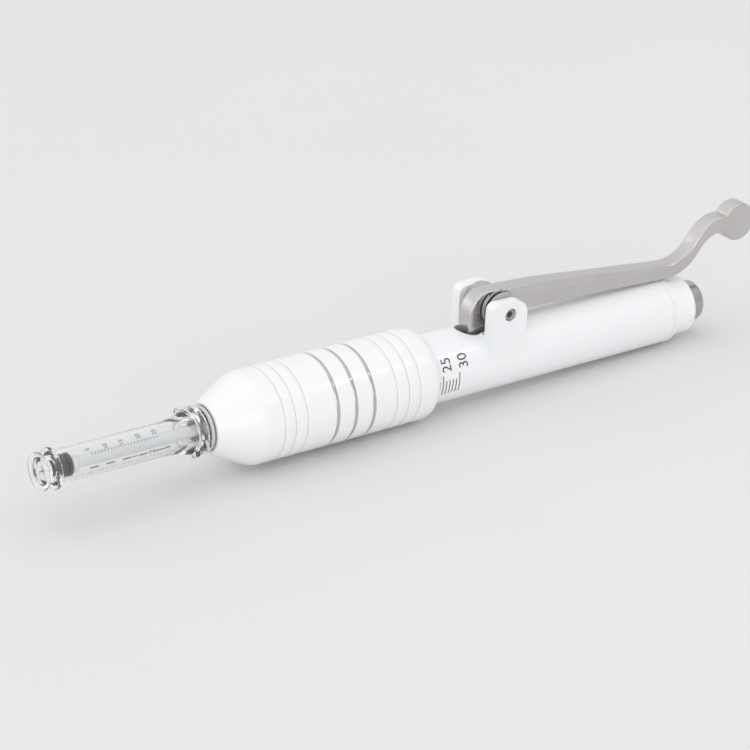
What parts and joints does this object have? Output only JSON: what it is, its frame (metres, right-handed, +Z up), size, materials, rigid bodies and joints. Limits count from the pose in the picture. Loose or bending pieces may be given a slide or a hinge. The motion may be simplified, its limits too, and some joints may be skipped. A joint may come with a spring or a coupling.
{
  "type": "needle-free dental syringe",
  "caption": "Pen-shaped needle-free dental injector with a clear ampoule, turning dose collar, hinged cocking lever and rear push button.",
  "frame": {"origin": "centre of the bounding box in plan, level with the lowest line of the dose collar", "axes": "+X along the pen from the nozzle to the push button, +Z up towards the loading lever, +Y across the pen"},
  "size_m": [0.2377, 0.026, 0.0412],
  "materials": {
    "white_paint": "satin white enamel",
    "brushed_steel": "fine bead-blasted and brushed stainless steel",
    "polished_steel": "polished stainless steel",
    "spring_steel": "bright spring wire",
    "white_plastic": "natural white",
    "grey_plastic": "moulded grey",
    "clear_plastic": "clear moulded polymer",
    "black_rubber": "black moulded rubber",
    "brass": "turned brass"
  },
  "bodies": {
    "housing": {"main_tube": "white_paint", "pivot_pin": "polished_steel", "torsion_spring": "spring_steel", "side_washer": "white_plastic", "spacer_bush": "white_plastic", "key_screw": "spring_steel", "ram_guide": "brass", "front_buffer": "black_rubber", "sear_housing": "grey_plastic", "end_cap": "white_paint", "main_spring": "spring_steel", "sear_spring": "spring_steel", "button_spring": "spring_steel"},
    "lever": {"cocking_lever": "brushed_steel"},
    "collar": {"dose_collar": "white_paint", "retaining_ring": "spring_steel"},
    "carriage": {"ampoule_holder": "grey_plastic", "ampoule_barrel": "clear_plastic", "ampoule_adapter": "clear_plastic", "holder_o_ring": "black_rubber"},
    "plunger": {"plunger_seal": "black_rubber", "plunger_rod": "white_plastic"},
    "ram_body": {"ram": "polished_steel", "ram_grip_ring": "brass"},
    "sear": {"sear_plate": "polished_steel"},
    "trigger": {"trigger_button": "polished_steel", "trigger_stem": "grey_plastic"}
  },
  "joints": [
    {"name": "carriage_slide", "type": "slide", "parent": "housing", "child": "carriage", "axis": [1, 0, 0], "range_m": [-0.02586, 0.00716]},
    {"name": "collar_turn", "type": "hinge", "parent": "carriage", "child": "collar", "pos_m": [-0.03, 0, 0.013], "axis": [1, 0, 0], "range_deg": [-1692, 468]},
    {"name": "lever_lift", "type": "hinge", "parent": "housing", "child": "lever", "pos_m": [0.02515, 0, 0.0284], "axis": [0, -1, 0], "range_deg": [0, 60], "stiffness_Nm_per_rad": 0.08, "springref_deg": -20.05},
    {"name": "ram_slide", "type": "slide", "parent": "housing", "child": "ram_body", "axis": [1, 0, 0], "range_m": [0, 0.01446], "deforming": ["main_spring"]},
    {"name": "plunger_draw", "type": "slide", "parent": "carriage", "child": "plunger", "axis": [1, 0, 0], "range_m": [0, 0.01446]},
    {"name": "trigger_press", "type": "slide", "parent": "housing", "child": "trigger", "axis": [-1, 0, 0], "range_m": [0, 0.003], "stiffness_N_per_m": 600, "springref_m": -0.002, "deforming": ["button_spring"]},
    {"name": "sear_slide", "type": "slide", "parent": "housing", "child": "sear", "axis": [0, 0, 1], "range_m": [0, 0.00151], "stiffness_N_per_m": 200, "springref_m": -0.001, "deforming": ["sear_spring"]}
  ],
  "couplings": [
    {"joint": "carriage_slide", "follows": "collar_turn", "m_per_rad": 0.00087535},
    {"joint": "ram_slide", "follows": "lever_lift", "m_per_rad": 0.013788},
    {"joint": "plunger_draw", "follows": "lever_lift", "m_per_rad": 0.013788},
    {"joint": "sear_slide", "follows": "trigger_press", "ratio": 0.5}
  ]
}
